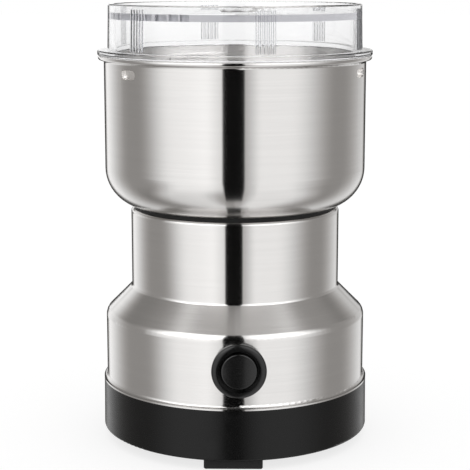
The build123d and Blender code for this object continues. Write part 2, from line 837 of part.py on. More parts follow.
armature_r = stator_bore - air_gap
with BuildPart() as armature_core:
    with BuildSketch(Plane.XY.offset(stator_z)):
        Circle(armature_r)
        Circle(shaft_r + fit / 2, mode=Mode.SUBTRACT)
        with PolarLocations(slot_radius, slot_count):
            Circle(slot_r, mode=Mode.SUBTRACT)
        with PolarLocations(armature_r, slot_count):
            Rectangle(2 * (armature_r - slot_radius), slot_mouth, mode=Mode.SUBTRACT)
    extrude(amount=stack_height)
save(armature_core, "armature_core")

with BuildPart() as armature_windings:
    with BuildSketch(Plane.XY.offset(stator_z - coil_gap)):
        Circle(winding_outer)
        Circle(winding_inner, mode=Mode.SUBTRACT)
    extrude(amount=-winding_height)
    fillet(armature_windings.faces().sort_by(Axis.Z)[0].edges(), winding_height / 4)
    with BuildSketch(Plane.XY.offset(stack_top + coil_gap)):
        Circle(winding_outer)
        Circle(winding_inner, mode=Mode.SUBTRACT)
    extrude(amount=winding_height)
    fillet(armature_windings.faces().sort_by(Axis.Z)[-1].edges(), winding_height / 4)
    with BuildSketch(Plane.XY.offset(stator_z - coil_gap)):
        with PolarLocations(slot_radius, slot_count):
            Circle(slot_r - coil_gap / 2)
    extrude(amount=stack_height + 2 * coil_gap)
save(armature_windings, "armature_windings")

with BuildPart() as commutator:
    with BuildSketch(Plane.XY.offset(commutator_z)):
        Circle(commutator_r)
        Circle(shaft_r + fit / 2, mode=Mode.SUBTRACT)
    extrude(amount=commutator_height)
    with BuildSketch(Plane.XY.offset(commutator_z)):
        with PolarLocations(commutator_r, segment_count):
            Rectangle(2 * segment_depth, segment_cut)
    extrude(amount=commutator_height, mode=Mode.SUBTRACT)
save(commutator, "commutator")

with BuildPart() as cooling_fan:
    with BuildSketch(Plane.XY.offset(fan_z)):
        Circle(fan_r)
    extrude(amount=fan_plate)
    with BuildSketch(Plane.XY.offset(fan_z)):
        Circle(fan_hub_r)
    extrude(amount=fan_height)
    with BuildSketch(Plane.XY.offset(fan_z)):
        with PolarLocations((vent_inner + fan_r - fan_rim) / 2, fan_blades):
            Rectangle(fan_r - fan_rim - vent_inner, fan_blade, rotation=20)
    extrude(amount=fan_height - fan_rim)
    with BuildSketch(Plane.XY.offset(fan_z)):
        Circle(shaft_r + fit / 2)
    extrude(amount=fan_height, mode=Mode.SUBTRACT)
save(cooling_fan, "cooling_fan")

# Blade stack on the shaft end: spacer, two wing blade, washer and cap nut
with BuildPart() as blade_spacer:
    with BuildSketch(Plane.XY.offset(bowl_floor + seal_flange + slip)):
        Circle(spacer_r)
        Circle(shaft_r + fit / 2, mode=Mode.SUBTRACT)
    extrude(amount=blade_z - bowl_floor - seal_flange - slip)
save(blade_spacer, "blade_spacer")

with BuildPart() as blade:
    with BuildSketch(Plane.XY.offset(blade_z)):
        Circle(blade_hub_r)
    extrude(amount=blade_thickness)
    for side, rise in ((1, blade_rise), (-1, -blade_rise / 2)):
        bend = Plane(
            origin=(side * blade_hub_r * 0.6, 0, blade_z),
            x_dir=(side * cos(radians(rise)), 0, sin(radians(rise))),
            z_dir=(-side * sin(radians(rise)), 0, cos(radians(rise))),
        )
        reach = (blade_r - blade_hub_r * 0.6) / cos(radians(rise))
        with BuildSketch(bend):
            with BuildLine():
                Polyline(
                    (0, -blade_root / 2),
                    (reach, -blade_root / 2 + blade_taper),
                    (reach, -blade_root / 2 + blade_taper + blade_tip / 2),
                    (reach - blade_tip / 2, blade_root / 2),
                    (0, blade_root / 2),
                    close=True,
                )
            make_face()
        extrude(amount=blade_thickness)
    with BuildSketch(Plane.XY.offset(blade_z - blade_thickness)):
        Circle(spacer_r + slip)
    extrude(amount=blade_thickness, mode=Mode.SUBTRACT)
    with BuildSketch(Plane.XY.offset(blade_z + blade_thickness)):
        Circle(washer_r + slip)
    extrude(amount=blade_thickness, mode=Mode.SUBTRACT)
    with BuildSketch(Plane.XY.offset(blade_z)):
        Circle(shaft_end_r + fit)
    extrude(amount=blade_thickness, mode=Mode.SUBTRACT)
save(blade, "blade")

with BuildPart() as blade_washer:
    with BuildSketch(Plane.XY.offset(blade_z + blade_thickness)):
        Circle(washer_r)
        Circle(shaft_end_r + fit, mode=Mode.SUBTRACT)
    extrude(amount=washer_thickness)
save(blade_washer, "blade_washer")

with BuildPart() as blade_nut:
    with BuildSketch(Plane.XY.offset(blade_top)):
        RegularPolygon(nut_flats / 2, 6, major_radius=False)
    extrude(amount=nut_height)
    with BuildSketch(Plane.XZ):
        with BuildLine():
            dome_foot = (nut_flats / 2 - slip, blade_top + nut_height)
            dome_top = (0, blade_top + nut_height + nut_dome)
            Spline(dome_foot, dome_top, tangents=((0, 1), (-1, 0)))
            Polyline(dome_top, (0, blade_top + nut_height), dome_foot)
        make_face()
    revolve(axis=Axis.Z)
    with BuildSketch(Plane.XY.offset(blade_top)):
        Circle(shaft_end_r + fit)
    extrude(amount=blade_z + shaft_thread + slip - blade_top, mode=Mode.SUBTRACT)
save(blade_nut, "blade_nut")

# Button housing: bevelled bezel seated on the curved wall, and a barrel through it
with BuildPart() as switch_bezel:
    with BuildSketch(Plane.XZ.offset(housing_r / 2)):
        with Locations((0, button_z)):
            Circle(bezel_r)
    extrude(amount=bezel_front - housing_r / 2)
    front_edge = switch_bezel.faces().sort_by(Axis.Y)[0].edges()
    chamfer(front_edge, length=bezel_groove, length2=bezel_r - bezel_land - slip)
    with BuildSketch(Plane.XY.offset(base_top)):
        Circle(housing_r + fit)
    extrude(amount=shoulder_z - base_top, mode=Mode.SUBTRACT)
    with BuildSketch(Plane.XZ.offset(barrel_back)):
        with Locations((0, button_z)):
            Circle(barrel_r)
    extrude(amount=bezel_front - bezel_groove - barrel_back)
    with BuildSketch(Plane.XZ.offset(bezel_front - bezel_recess)):
        with Locations((0, button_z)):
            Circle(bezel_land)
    extrude(amount=bezel_recess, mode=Mode.SUBTRACT)
    with BuildSketch(Plane.XZ.offset(barrel_back + barrel_web)):
        with Locations((0, button_z)):
            Circle(bezel_bore)
    extrude(amount=bezel_front - barrel_back - barrel_web, mode=Mode.SUBTRACT)
    with BuildSketch(Plane.XZ.offset(barrel_back)):
        with Locations((0, button_z)):
            Circle(stem_r + slip)
    extrude(amount=barrel_web, mode=Mode.SUBTRACT)
save(switch_bezel, "switch_bezel")

with BuildPart() as switch_nut:
    with BuildSketch(Plane.XZ.offset(ring_nut_y)):
        with Locations((0, button_z)):
            RegularPolygon(ring_nut_r, 6, major_radius=False)
            Circle(barrel_r + fit, mode=Mode.SUBTRACT)
    extrude(amount=-ring_nut_length)
save(switch_nut, "switch_nut")

# Push button: a hollow cap on a stem that carries the contact bridge
button_front = bezel_front + button_proud
switch_back = barrel_back - switch_depth
cavity_back = switch_back + switch_wall
contact_back = barrel_back - switch_wall - slip / 2 - contact_thickness
pad_front = contact_back - button_travel - slip
button_axis = Axis((0, 0, button_z), (0, -1, 0))
crown_r = (button_r**2 + button_dome**2) / (2 * button_dome)
with BuildPart() as push_button:
    with BuildSketch(Plane.XY.offset(button_z)) as cap:
        with BuildLine():
            crown = RadiusArc((button_r, button_dome - button_front), (0, -button_front), crown_r)
            Polyline(
                crown @ 1,
                (0, button_skirt - button_front),
                (button_r, button_skirt - button_front),
                crown @ 0,
            )
        make_face()
        fillet(cap.vertices().sort_by(Axis.X)[-2:].sort_by(Axis.Y)[0], button_edge)
    revolve(axis=button_axis)
    with BuildSketch(Plane.XZ.offset(button_front - button_skirt)):
        with Locations((0, button_z)):
            Circle(button_r - button_skin)
    extrude(amount=button_skirt - button_skin, mode=Mode.SUBTRACT)
    with BuildSketch(Plane.XZ.offset(button_front - button_skin)):
        with Locations((0, button_z)):
            Circle(stem_r)
    extrude(amount=-(button_front - button_skin - contact_back - contact_thickness))
save(push_button, "push_button")

with BuildPart() as switch_contact:
    with BuildSketch(Plane.XZ.offset(contact_back)):
        with Locations((0, button_z)):
            Rectangle(contact_width, contact_height)
    extrude(amount=contact_thickness)
save(switch_contact, "switch_contact")

# Return spring between the cap and the web of the barrel
spring_back = barrel_back + barrel_web + spring_wire + fit
spring_front = button_front - button_skin - spring_wire - fit
with BuildPart() as button_spring:
    with BuildLine():
        turns = Helix(
            (spring_front - spring_back) / spring_turns,
            spring_front - spring_back,
            spring_r,
            center=(0, -spring_back, button_z),
            direction=(0, -1, 0),
        )
    with BuildSketch(Plane(origin=turns @ 0, z_dir=turns % 0)):
        Circle(spring_wire)
    sweep()
save(button_spring, "button_spring")

# Switch body behind the barrel, with its two terminals
terminal_tail = switch_back - motor_screw_y - bracket_leg_r - terminal_gap
with BuildPart() as switch_body:
    with BuildSketch(Plane.XZ.offset(switch_back)):
        with Locations((0, button_z)):
            RectangleRounded(switch_width, switch_height, switch_edge)
    extrude(amount=switch_depth)
    with BuildSketch(Plane.XZ.offset(cavity_back)):
        with Locations((0, button_z)):
            Rectangle(switch_width - 2 * switch_wall, switch_height - 2 * switch_wall)
    extrude(amount=switch_depth - 2 * switch_wall, mode=Mode.SUBTRACT)
    with BuildSketch(Plane.XZ.offset(cavity_back)):
        with Locations((0, button_z)):
            Circle(stem_r + slip)
    extrude(amount=switch_depth, mode=Mode.SUBTRACT)
    with BuildSketch(Plane.XZ.offset(switch_back)):
        with Locations((terminal_x, button_z), (-terminal_x, button_z)):
            Rectangle(terminal_thickness + 2 * fit, terminal_width + 2 * fit)
    extrude(amount=switch_wall, mode=Mode.SUBTRACT)
save(switch_body, "switch_body")

for name, x in (("right", terminal_x), ("left", -terminal_x)):
    with BuildPart() as switch_terminal:
        with BuildSketch(Plane.XZ.offset(switch_back - terminal_tail)):
            with Locations((x, button_z)):
                Rectangle(terminal_thickness, terminal_width)
        extrude(amount=pad_front - switch_back + terminal_tail)
    save(switch_terminal, f"switch_terminal_{name}")
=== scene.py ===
# %% [markdown]
# # An electric grain grinder
#
# The grinder is a tall round appliance: a clear lid on a bowl of brushed steel, a waisted steel motor housing
# with one round press button, and a black moulded base on rubber feet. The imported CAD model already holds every
# piece at its true size, so this lesson is about light and finishes: a studio that brushed steel can mirror,
# a camera that stands where the photographer stood, and one honest material for each thing that the pieces are
# made of.

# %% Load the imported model
from math import cos, degrees, pi, radians, sin

import bmesh
import bpy
from mathutils import Matrix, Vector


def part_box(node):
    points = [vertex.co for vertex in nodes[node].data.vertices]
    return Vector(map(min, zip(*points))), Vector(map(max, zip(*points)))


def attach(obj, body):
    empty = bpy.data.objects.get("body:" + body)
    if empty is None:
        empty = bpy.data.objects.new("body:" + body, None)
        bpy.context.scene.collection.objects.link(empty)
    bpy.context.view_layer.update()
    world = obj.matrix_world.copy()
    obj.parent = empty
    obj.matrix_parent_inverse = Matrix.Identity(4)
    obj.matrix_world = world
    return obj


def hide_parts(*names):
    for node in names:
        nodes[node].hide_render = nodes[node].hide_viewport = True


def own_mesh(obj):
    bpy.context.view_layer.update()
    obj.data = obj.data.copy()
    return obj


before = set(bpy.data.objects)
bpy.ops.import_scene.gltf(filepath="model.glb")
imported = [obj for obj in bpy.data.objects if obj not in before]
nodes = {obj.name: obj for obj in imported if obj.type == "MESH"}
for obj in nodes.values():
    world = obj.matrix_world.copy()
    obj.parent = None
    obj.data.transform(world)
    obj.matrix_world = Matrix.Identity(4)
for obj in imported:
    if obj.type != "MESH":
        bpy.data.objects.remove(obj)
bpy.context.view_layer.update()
scene = bpy.context.scene

# %% [markdown]
# ## Writing shader nodes as sums
#
# A finish is mostly arithmetic: a bit of noise times a strength, added to a base value. Dragging boxes for that
# hides the sum, so one small class wraps the output of a node and lets Python's own signs add the Math nodes.
# Its make method adds any other node: the settings go in first, because they can change which sockets there
# are, and then the numbers or wires for its sockets. Most masks are soft steps, so rise and fall have names of
# their own.

# %% A wire between shader nodes
class Wire:
    """The output of a shader node, which can be added, multiplied and raised like a number."""

    def __init__(self, tree, socket=None):
        self.tree = tree
        self.socket = socket

    def make(self, kind, settings=None, inputs=None, output=0):
        """Add a node of a kind, set it up, feed its sockets and return one of its outputs."""
        node = self.tree.nodes.new(kind)
        for name, value in (settings or {}).items():
            setattr(node, name, value)
        for name, value in (inputs or {}).items():
            if isinstance(value, Wire):
                self.tree.links.new(value.socket, node.inputs[name])
            else:
                node.inputs[name].default_value = value
        return Wire(self.tree, node.outputs[output]) if node.outputs else None

    def port(self, name):
        """Another output of the same node."""
        return Wire(self.tree, self.socket.node.outputs[name])

    def maths(self, operation, first, second=0.0):
        return self.make("ShaderNodeMath", {"operation": operation}, {0: first, 1: second})

    def __add__(self, other):
        return self.maths("ADD", self, other)

    __radd__ = __add__

    def __mul__(self, other):
        return self.maths("MULTIPLY", self, other)

    __rmul__ = __mul__

    def __sub__(self, other):
        return self.maths("SUBTRACT", self, other)

    def __rsub__(self, other):
        return self.maths("SUBTRACT", other, self)

    def __pow__(self, power):
        return self.maths("POWER", self, power)

    def size(self):
        return self.maths("ABSOLUTE", self)

    def rise(self, low, high):
        """Goes smoothly from 0 at low to 1 at high."""
        return self.make(
            "ShaderNodeMapRange",
            {"interpolation_type": "SMOOTHSTEP"},
            {"Value": self, "From Min": low, "From Max": high},
        )

    def fall(self, low, high):
        """Goes smoothly from 1 at low to 0 at high."""
        return 1 - self.rise(low, high)

    def split(self):
        """The three numbers of a vector."""
        numbers = self.make("ShaderNodeSeparateXYZ", inputs={"Vector": self})
        return numbers, numbers.port("Y"), numbers.port("Z")

    def blend(self, low, high):
        """A colour that goes from low to high as this wire goes from 0 to 1."""
        low, high = (colour if isinstance(colour, Wire) else (*colour, 1.0) for colour in (low, high))
        factor, first_colour, second_colour, mixed_colour = 0, 6, 7, 2
        inputs = {factor: self, first_colour: low, second_colour: high}
        return self.make("ShaderNodeMix", {"data_type": "RGBA"}, inputs, output=mixed_colour)


print("a wire can be added, subtracted, multiplied, raised and blended")

# %% [markdown]
# ## The camera
#
# The photograph is taken from a little above the rim with a long lens, so the lid shows as a thin ellipse and
# the walls stay nearly parallel. The camera stands 0.56 m from the turning axis, 1.6 degrees to the left of the
# button, and looks down by 10.3 degrees. A 110 mm lens fills the frame with the 170 mm tall object.

# %% Camera
camera_turn = radians(1.6)
camera_distance = 0.5617
camera_height = 0.1814
camera_pitch = radians(10.287)

camera_data = bpy.data.cameras.new("Camera")
camera_data.lens = 110.4
camera_data.sensor_width = 36.0
camera = bpy.data.objects.new("Camera", camera_data)
camera.location = (-camera_distance * sin(camera_turn), -camera_distance * cos(camera_turn), camera_height)
camera.rotation_euler = (pi / 2 - camera_pitch, 0.0, -camera_turn)
scene.collection.objects.link(camera)
scene.camera = camera
print("camera at", [round(place, 4) for place in camera.location])

# %% [markdown]
# ## The studio
#
# Brushed steel has hardly any colour of its own: what it shows is the room. A product photographer stands two
# tall soft panels in front of a metal cylinder, keeps a narrow black card between them for the dark stripe down
# the middle, and lets the sides fall to grey. Lamps and cards could be built as objects, but a world that gets
# its brightness from the direction alone does the same with no noise. Every direction gets three numbers in
# degrees. Its bearing is 0 towards the camera and positive to the right of the picture, its turn is the bearing
# without the sign, and its height is counted from the horizon.

# %% Directions
world = bpy.data.worlds.new("Studio")
world.use_nodes = True
scene.world = world
world.node_tree.nodes.clear()
sky = Wire(world.node_tree)

east, north, up = sky.make("ShaderNodeTexCoord", output="Generated").split()
ahead = east * -sin(camera_turn) + north * -cos(camera_turn)
aside = east * cos(camera_turn) + north * -sin(camera_turn)
bearing = sky.maths("ARCTAN2", aside, ahead) * degrees(1)
turn = bearing.size()
height = sky.maths("ARCSINE", up) * degrees(1)
is_right = bearing.rise(-1, 1)
print(len(world.node_tree.nodes), "nodes tell where a ray goes")

# %% [markdown]
# ## The panels
#
# Each side of the room is a sum of soft steps in the turn: a grey wall, a bright panel that starts dimmer next
# to the middle and fades towards the side, and a second brightness behind the object. The two sides differ, as
# the photograph's do. The round bottom of the bowl mirrors what is below the horizon. There the panels reach a
# little less far round at first and further round lower down, so their fades are shifted with the depth.

# %% Panels
side_grey = 0.37
low = (0 - height).rise(2, 16)
deep = (0 - height).rise(20, 45)

left_turn = turn + 12 * low - 22 * deep
left_panel = 0.87 * left_turn.fall(58, 95) + 0.16 * left_turn.fall(20, 60)
left_panel = left_panel * (0.64 + 0.36 * turn.rise(8, 27))
left_back = 0.8 * turn.rise(104, 152)
left_dim = 1 - deep * (0.26 + 0.3 * turn.fall(14, 40))
left_side = (side_grey + left_panel + left_back) * left_dim

right_turn = turn + 7 * low - 17 * deep
right_panel = 0.82 * right_turn.fall(49, 100) * (0.35 + 0.65 * turn.rise(8, 24))
right_back = (0.38 + 0.22 * low) * turn.rise(106, 152)
right_dim = 1 - 0.08 * deep
right_side = (side_grey + right_panel + right_back) * right_dim

walls = left_side * (1 - is_right) + right_side * is_right
print(len(world.node_tree.nodes), "nodes with the panels")

# %% [markdown]
# ## Card, flags and ceiling
#
# The black card hangs a little to the left of the middle and is about 19 degrees wide. Black flags right behind
# the object give the steel its dark edges, and a bright slit low over the table keeps the flat top of the lid
# and of its flange from mirroring them. Higher up the panels lean in and get brighter, for the white line on
# the shoulder. The cone mirrors the calm grey ceiling, and towards its ends a dim wall high up behind.

# %% Card, flags and ceiling
card_offset = 1.2
card = (bearing + card_offset).size().fall(9.1, 9.8) * height.fall(60, 64) * height.rise(-62, -56)
ceiling = height.rise(52, 66)
open_back = height.rise(-0.6, 0.2) * height.fall(6, 10)
flags = turn.rise(151, 161) * (1 - ceiling) * (1 - open_back)
lean_in = 1 + 0.9 * height.rise(12, 27) * turn.fall(70, 105)

dim_grey, least = 0.28, 0.003
ceiling_grey = 0.46 + 0.08 * is_right
dim_back = height.rise(10, 31) * (turn - 10 * is_right).rise(98, 120)
around = walls * lean_in * (1 - dim_back) + dim_grey * dim_back
room = around * (1 - ceiling) + ceiling_grey * ceiling
studio = room * (1 - card) * (1 - 0.95 * flags) + least
print(len(world.node_tree.nodes), "nodes with the card, the flags and the ceiling")

# %% [markdown]
# ## Who sees what
#
# Mirror-like rays see the panels. Camera rays see plain white, and so do rays that go on behind the object
# through the clear lid, but rays that come back out of the lid towards the camera see the panels too. All other
# rays get one even, soft light. A small card far behind the object gives the lid's top plate its one dark
# smear. Dim parts of the room are a little warm.

# %% Rays
soft_light = 0.9
glossy = sky.make("ShaderNodeLightPath", output="Is Glossy Ray")
from_camera, through = glossy.port("Is Camera Ray"), glossy.port("Is Transmission Ray")
behind = turn.rise(95, 125)
lid_light = behind + (1 - behind) * (0.2 + 1.6 * studio)
mirrored = glossy * studio + (1 - glossy) * soft_light
far_card = (180 - turn).fall(0.0, 2.9) * height.rise(1.41, 1.48) * height.fall(1.61, 1.66)
level = (through * lid_light + (1 - through) * mirrored) * (1 - 0.97 * far_card)
level = from_camera + (1 - from_camera) * level

warm_white, plain_white = (1.0, 0.97, 0.94), (1.0, 1.0, 1.0)
warmth = level.rise(0.3, 0.9).blend(warm_white, plain_white)
background = sky.make("ShaderNodeBackground", inputs={"Color": warmth, "Strength": level})
sky.make("ShaderNodeOutputWorld", inputs={"Surface": background})
scene.view_settings.view_transform = "Standard"
print(len(world.node_tree.nodes), "nodes in the whole studio")

# %% [markdown]
# ## Two small helpers
#
# Every new piece ends the same way: its bmesh becomes a mesh on an object at the origin, linked to the scene.
# Every finish starts the same way, with an empty material and a wire to build its nodes from.

# %% Helpers for pieces and materials
def into_object(name, shape):
    """Turn a bmesh into an object of the scene, and free it."""
    mesh = bpy.data.meshes.new(name)
    shape.to_mesh(mesh)
    shape.free()
    made = bpy.data.objects.new(name, mesh)
    scene.collection.objects.link(made)
    return made


def start(name):
    """An empty material with that name, and a wire to build its nodes from."""
    material = bpy.data.materials.new(name)
    material.use_nodes = True
    material.node_tree.nodes.clear()
    return material, Wire(material.node_tree)


print("two helpers:", into_object.__name__, "and", start.__name__)

# %% [markdown]
# ## The floor
#
# The object stands on a white sweep. A matt floor under even light comes out grey, so about three quarters of
# its brightness is light of its own, which still leaves a soft shadow under the base. Only camera rays and rays
# through the clear lid see that share, so it adds nothing to the object. Mirrors don't see the floor at all:
# the steel walls look down at it, and there they should find the panels instead.

# %% Floor
floor_radius = 6.0
floor_grey, floor_glow = 0.28, 0.77

sweep = bmesh.new()
bmesh.ops.create_circle(sweep, cap_ends=True, segments=96, radius=floor_radius)
floor = into_object("floor", sweep)
floor.visible_glossy = False

floor_finish, sheet = start("White sweep")
matt = sheet.make("ShaderNodeBsdfDiffuse", inputs={"Color": (floor_grey, floor_grey, floor_grey, 1.0)})
seen = sheet.make("ShaderNodeLightPath", output="Is Camera Ray")
seen = sheet.maths("MAXIMUM", seen, seen.port("Is Transmission Ray"))
glow = sheet.make("ShaderNodeEmission", inputs={"Strength": seen * floor_glow})
both = sheet.make("ShaderNodeAddShader", inputs={0: matt, 1: glow})
sheet.make("ShaderNodeOutputMaterial", inputs={"Surface": both})
floor.data.materials.append(floor_finish)
print("floor", round(floor.dimensions.x, 1), "m across")

# %% [markdown]
# ## A close for every finish
#
# All the finishes are a Principled surface plus something that varies. The helper below closes a material: it
# sets the constant values on the shader's own sockets and takes wires for colour, roughness and relief. Relief
# is a height in metres that feeds a Bump node. Patterns read Object coordinates, which are metres on every
# piece, so 1000 in a scale means one wave for each millimetre.

# %% Finish helpers
finishes = {}
frost_white = (0.85, 0.86, 0.9, 1.0)


def place_on(wire):
    """Object coordinates as a vector."""
    return wire.make("ShaderNodeTexCoord", output="Object")


def noise(wire, where, scale, detail=2.0, roughness=0.5):
    """Soft noise between 0 and 1, with scale in waves per metre."""
    return wire.make(
        "ShaderNodeTexNoise",
        inputs={"Vector": where, "Scale": scale, "Detail": detail, "Roughness": roughness},
    )


def surface(slot, material, wire, colour, roughness, relief=None, volume=None, frost=None, **constants):
    """Close a finish with a Principled surface, matt white where it is frosted, and file it under its slot."""
    inputs = {"Base Color": colour, "Roughness": roughness}
    for key, value in constants.items():
        inputs[key.replace("_", " ").title().replace("Ior", "IOR")] = value
    if relief is not None:
        inputs["Normal"] = wire.make("ShaderNodeBump", inputs={"Height": relief, "Distance": 1.0})
    ends = {"Surface": wire.make("ShaderNodeBsdfPrincipled", inputs=inputs)}
    if frost is not None:
        matt_white = wire.make("ShaderNodeBsdfDiffuse", inputs={"Color": frost_white})
        ends["Surface"] = wire.make("ShaderNodeMixShader", inputs={0: frost, 1: ends["Surface"], 2: matt_white})
    if volume is not None:
        ends["Volume"] = volume
    wire.make("ShaderNodeOutputMaterial", inputs=ends)
    finishes[slot] = material
    print(f"{material.name}: {len(material.node_tree.nodes)} nodes")


# %% [markdown]
# ## Brushed stainless steel
#
# The bowl and the housing are spun against an abrasive belt, so hair lines run round them. The lines do two
# things: they streak the colour a little, and they smear reflections up and down while leaving them sharp from
# side to side. Noise that is stretched round the axis gives the streaks, and an anisotropic surface whose
# highlights lie across the lines gives the smear. With no tangent of its own, the shader takes directions round
# the object's Z axis, which is just how a spun cylinder is brushed. The belt doesn't reach inside: there the
# drawn sheet stays satin, and its colour is painted paler, as painted light for the inside of the bowl. The
# inside is told from the outside by the distance to the ring on which the bowl's rounded bottom corner is
# centred: less than the middle of the sheet is inside, on wall, corner and floor.

# %% Brushed steel
corner_ring_radius = 0.03548
corner_ring_height = 0.1072
corner_middle = 0.0149
disc_share = 0.37


def streaks(wire, x, y, across, round_waves, across_waves, **grain):
    """Noise in waves per metre that runs round the Z axis, long in that direction and short across it."""
    where = wire.make(
        "ShaderNodeCombineXYZ",
        inputs={"X": x * round_waves, "Y": y * round_waves, "Z": across * across_waves},
    )
    return noise(wire, where, 1.0, **grain)


def brushed_steel(slot, name, colour, roughness, streak):
    """Steel with hair lines round the Z axis, on walls and on flat discs alike, and a satin inside painted paler
    as painted light.
    """
    material, wire = start(name)
    spot = place_on(wire)
    x, y, z = spot.split()
    radius = (x * x + y * y) ** 0.5
    across = z + disc_share * radius
    fine = streaks(wire, x, y, across, 26, 3400, detail=3.0, roughness=0.6)
    broad = streaks(wire, x, y, across, 14, 700)
    smudge = noise(wire, spot, 30)
    out = wire.maths("MAXIMUM", radius - corner_ring_radius, 0.0)
    down = wire.maths("MAXIMUM", corner_ring_height - z, 0.0)
    inside = wire.maths("LESS_THAN", (out * out + down * down) ** 0.5, corner_middle)
    shade = (fine - 0.5) * streak + (broad - 0.5) * streak * 0.6 + 0.5
    # The third share is painted light: it paints the inside of the bowl paler than the outside.
    dark, light, painted_inner_light = (tuple(min(1.0, share * part) for part in colour) for share in (0.86, 1.14, 1.48))
    surface(
        slot, material, wire,
        inside.blend(shade.blend(dark, light), painted_inner_light),
        roughness + (fine - 0.5) * 0.04 + (smudge - 0.5) * 0.02 + inside * 0.18,
        relief=(fine - 0.5) * 0.000001,
        metallic=1.0,
        anisotropic=1.0,
        anisotropic_rotation=0.25,
    )


brushed_steel("brushed_stainless", "Brushed stainless steel", (0.655, 0.643, 0.632), 0.14, 0.34)

# %% [markdown]
# ## Clear moulded plastic
#
# The lid is clear styrene: it shows as thin grey lines where walls are seen edge on, and as almost nothing
# elsewhere. Glass-like transmission with the plastic's own index gives that by itself. The plastic also takes a
# little light on the way: nothing to notice through a 2.6 mm wall, but the top plate is seen along its whole
# 95 mm, and there the same absorption makes a blue-grey band. The flanks of the small grip ribs turn light
# away, which leaves two grey lines to a rib: that shade is painted into the colour of each flank, found by how
# far a spot stands proud of the leaning wall. Thin ribs seen edge on would trap light until they look black, so
# they are partly frosted, as worn ones are. The back ribs get more frost and no painted grey next to the plate,
# because the plate works as a lens that would show them as black ticks. Real mouldings are never quite flat, so
# a long, shallow wave bends what is seen through them, and faint handling marks dull the gloss.

# %% Clear lid
lid_foot_radius = 0.0492
lid_foot_height = 0.1526
lid_wall_height = 0.01745
lid_draft = 0.0004
lid_lean = lid_draft / lid_wall_height
lid_plate_foot = 0.1643
rib_edge, rib_top = (0.00002, 0.00006), (0.00018, 0.00024)
# Painted shade: the grey that the rib flanks get in their colour.
flank_painted_shade = (0.46, 0.47, 0.5)
clear_low, clear_high = (0.992, 0.994, 0.996), (1.0, 1.0, 1.0)
plastic_tint = (0.706, 0.704, 0.728, 1.0)

material, wire = start("Clear styrene")
spot = place_on(wire)
x, y, z = spot.split()
proud = (x * x + y * y) ** 0.5 + lid_lean * (z - lid_foot_height) - lid_foot_radius
rib = proud.rise(*rib_edge) * z.rise(lid_foot_height, lid_foot_height + 0.0005)
by_plate = y.rise(0.0, 0.002) * z.rise(lid_plate_foot - 0.0005, lid_plate_foot)
# Painted shade: grey on the rib flanks, left off next to the plate.
flank = rib * proud.fall(*rib_top) * (1 - by_plate)
waves = noise(wire, spot, 55)
marks = noise(wire, spot, 900, detail=4.0, roughness=0.7).rise(0.62, 0.72)
surface(
    "clear_plastic", material, wire,
    flank.blend(waves.blend(clear_low, clear_high), flank_painted_shade),
    0.01 + marks * 0.04,
    relief=waves * 0.000004,
    frost=rib * (0.2 + 0.4 * by_plate),
    volume=wire.make("ShaderNodeVolumeAbsorption", inputs={"Color": plastic_tint, "Density": 25.0}),
    transmission_weight=1.0,
    ior=1.5,
)

# %% [markdown]
# ## Moulded plastics and rubber
#
# Black appliance plastic is never quite black and never quite smooth. The mould is spark eroded, which leaves a
# fine grain in the surface and breaks up the gloss, and touched places are a little shinier than the rest.
# One helper makes them all. What differs is the colour, the gloss and how coarse the grain is.

# %% Moulded finishes
def moulded(slot, name, colour, roughness, grain, depth, level=0.5, coat=0.0):
    """Plastic or rubber with an eroded grain, in waves per metre and metres deep, and a glossy skin."""
    material, wire = start(name)
    spot = place_on(wire)
    fine = noise(wire, spot, grain, detail=3.0, roughness=0.6)
    cloud = noise(wire, spot, 45)
    wear = noise(wire, spot, 160, detail=3.0).rise(0.5, 0.75)
    dark, light = (tuple(share * part for part in colour) for share in (0.75, 1.35))
    surface(
        slot, material, wire,
        (cloud * 0.6 + fine * 0.4).blend(dark, light),
        roughness + (fine - 0.5) * 0.18 - wear * 0.06,
        relief=fine * depth,
        specular_ior_level=level,
        coat_weight=coat,
        coat_roughness=0.12,
    )


moulded("black_plastic", "Black base plastic", (0.0045, 0.0045, 0.0044), 0.26, 2600, 0.00001, 0.24)
moulded("bezel_plastic", "Button housing plastic", (0.0045, 0.0045, 0.0045), 0.24, 2200, 0.000008, 0.3, 0.3)
moulded("button_plastic", "Button plastic", (0.0045, 0.0045, 0.0045), 0.26, 3000, 0.000006, 0.35, 0.4)
moulded("inner_plastic", "Glass filled motor plastic", (0.055, 0.052, 0.048), 0.5, 1500, 0.00004)
moulded("fan_plastic", "Fan plastic", (0.55, 0.53, 0.49), 0.45, 1800, 0.00002)
moulded("black_rubber", "Black rubber", (0.012, 0.012, 0.012), 0.62, 1300, 0.00003, 0.3)

# %% [markdown]
# ## Plain metals
#
# The hidden metals are turned, stamped or drawn. A turned face has rings about its axis, a stamped one has a
# light tumble texture, and wire has fine lines along it. One helper mixes rings and tumble marks, and a colour
# that drifts slightly is enough to tell zinc, bronze, brass and copper apart.

# %% Plain metals
def worked_metal(slot, name, colour, roughness, rings, tumble):
    """Metal with turning rings, in waves per metre, and shallow tumble marks."""
    material, wire = start(name)
    spot = place_on(wire)
    x, y, z = spot.split()
    radius = (x * x + y * y) ** 0.5
    lines = wire.make("ShaderNodeCombineXYZ", inputs={"X": radius * rings, "Y": z * rings, "Z": 0.0})
    cut = noise(wire, lines, 1.0)
    dents = noise(wire, spot, tumble, detail=3.0)
    drift = noise(wire, spot, 120)
    dark, light = (tuple(min(1.0, share * part) for part in colour) for share in (0.82, 1.12))
    surface(
        slot, material, wire,
        (drift * 0.6 + cut * 0.4).blend(dark, light),
        roughness + (cut - 0.5) * 0.15 + (dents - 0.5) * 0.1,
        relief=cut * 0.000006 + dents * 0.00001,
        metallic=1.0,
    )


